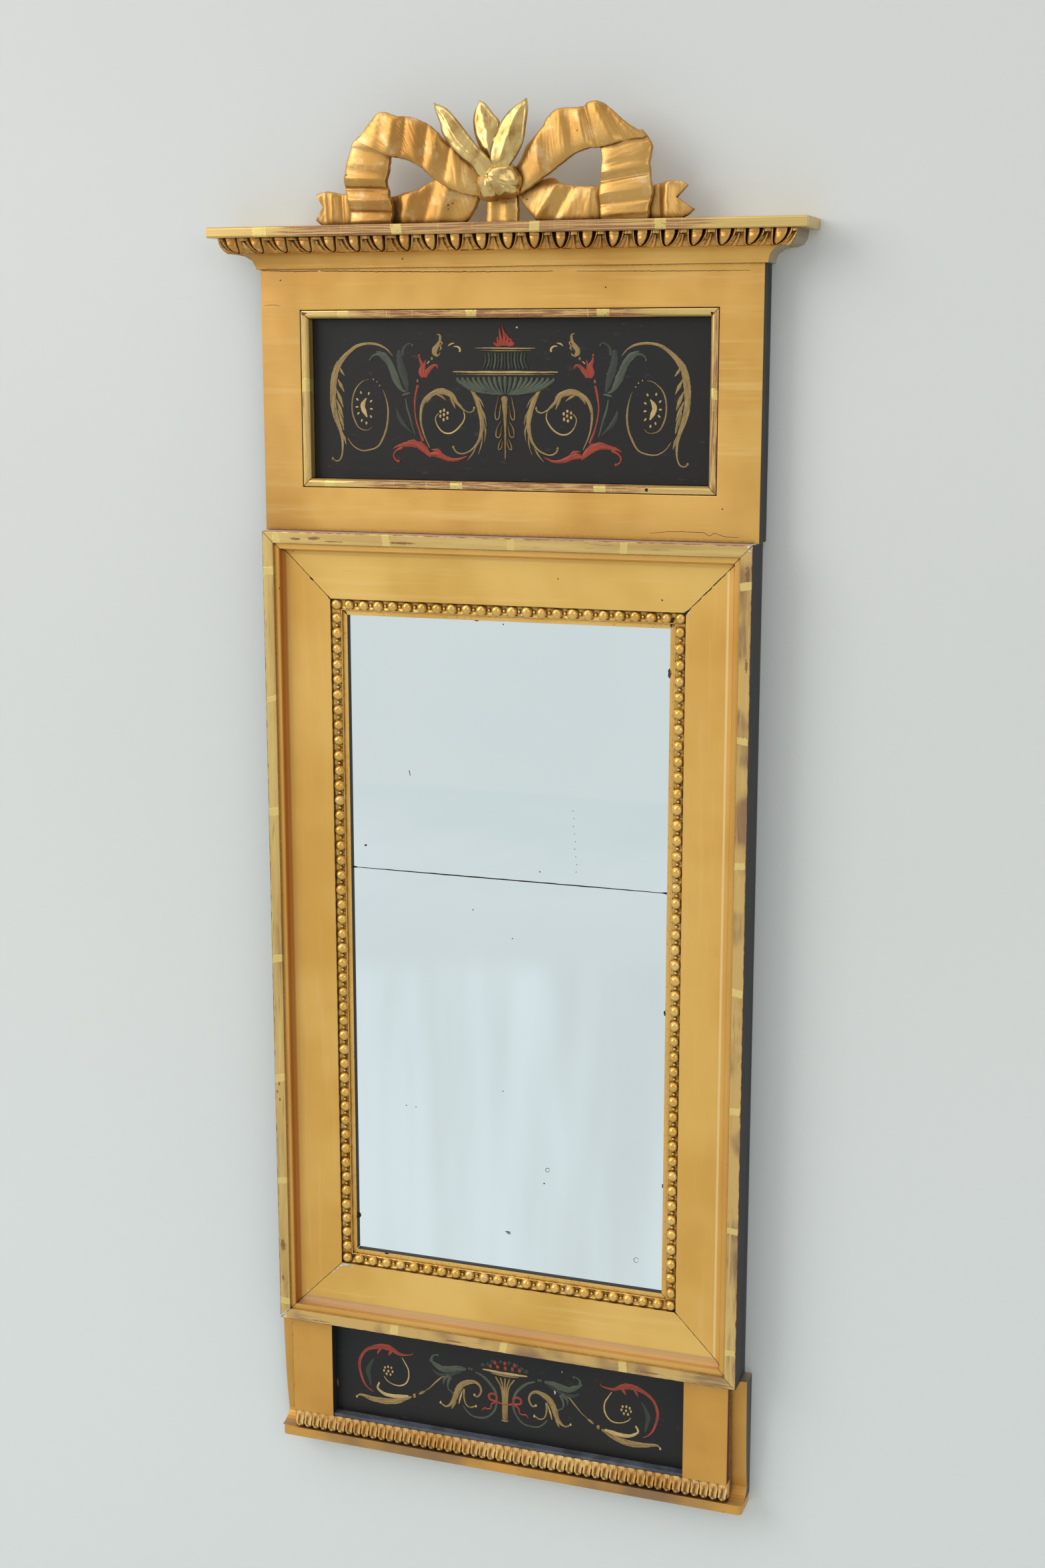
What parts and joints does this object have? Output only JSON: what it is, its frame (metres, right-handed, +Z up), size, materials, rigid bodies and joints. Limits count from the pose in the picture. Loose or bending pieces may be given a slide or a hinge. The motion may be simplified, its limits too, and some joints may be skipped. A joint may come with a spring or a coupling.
{
  "type": "trumeau mirror",
  "caption": "Tall gilded wall mirror with a carved ribbon crest, cornice, painted frieze, glass in bead strips and a plinth.",
  "frame": {"origin": "middle of the back face of the frieze plank, the flat face that rests against the wall", "axes": "+Y into the wall, so the glass looks along -Y; +X to the right as seen from the front; +Z up"},
  "size_m": [0.355, 0.0342, 0.8305],
  "materials": {
    "matt_gold": "matt water-gilded gold leaf over bole and gesso, worn",
    "burnished_gold": "burnished gold leaf, bole showing at the edges",
    "black_ground": "flat black paint with painted arabesques",
    "bare_pine": "aged bare pine",
    "cornice_end": "thin brown wash, ungilded",
    "dark_wash": "dark grey wash",
    "old_mirror": "old silvered glass, lightly foxed",
    "iron": "dark wrought iron"
  },
  "bodies": {
    "frame": {"frame_rail_top": "matt_gold", "frame_rail_bottom": "matt_gold", "frame_stile_left": "matt_gold", "frame_stile_right": "matt_gold", "bead_strip_top": "matt_gold", "bead_strip_bottom": "matt_gold", "bead_strip_left": "matt_gold", "bead_strip_right": "matt_gold", "carcass_stile_left": "dark_wash", "carcass_stile_right": "dark_wash", "carcass_rail_bottom": "bare_pine", "carcass_rail_top": "bare_pine", "glass_upper": "old_mirror", "glass_lower": "old_mirror", "backboard": "bare_pine", "frieze_board": "dark_wash", "frieze_border_bottom": "matt_gold", "frieze_border_top": "matt_gold", "frieze_border_left": "matt_gold", "frieze_border_right": "matt_gold", "frieze_moulding_top": "burnished_gold", "frieze_moulding_bottom": "burnished_gold", "frieze_moulding_left": "burnished_gold", "frieze_moulding_right": "burnished_gold", "frieze_panel": "black_ground", "cavetto_front": "matt_gold", "cavetto_return_right": "cornice_end", "cavetto_return_left": "cornice_end", "egg_and_dart": "matt_gold", "ovolo_return_right": "cornice_end", "ovolo_return_left": "cornice_end", "cornice_top_board": "burnished_gold", "plinth_board": "bare_pine", "plinth_block_left": "matt_gold", "plinth_block_right": "matt_gold", "plinth_panel": "black_ground", "plinth_sill": "black_ground", "leaf_tip_moulding": "matt_gold", "plinth_wing_right": "matt_gold", "plinth_wing_left": "matt_gold", "base_board": "matt_gold", "hanging_staple": "iron", "ribbon_loop_right": "matt_gold", "ribbon_loop_left": "matt_gold", "ribbon_tail_right": "matt_gold", "ribbon_tail_left": "matt_gold", "crest_leaf_left": "burnished_gold", "crest_leaf_centre": "burnished_gold", "crest_leaf_right": "burnished_gold", "crest_knot": "burnished_gold", "crest_post": "matt_gold"},
    "ring": {"hanging_ring": "iron"}
  },
  "joints": [
    {"name": "ring_hinge", "type": "hinge", "parent": "frame", "child": "ring", "pos_m": [0, -0.004, -0.10775], "axis": [1, 0, 0], "range_deg": [0, 180]}
  ]
}
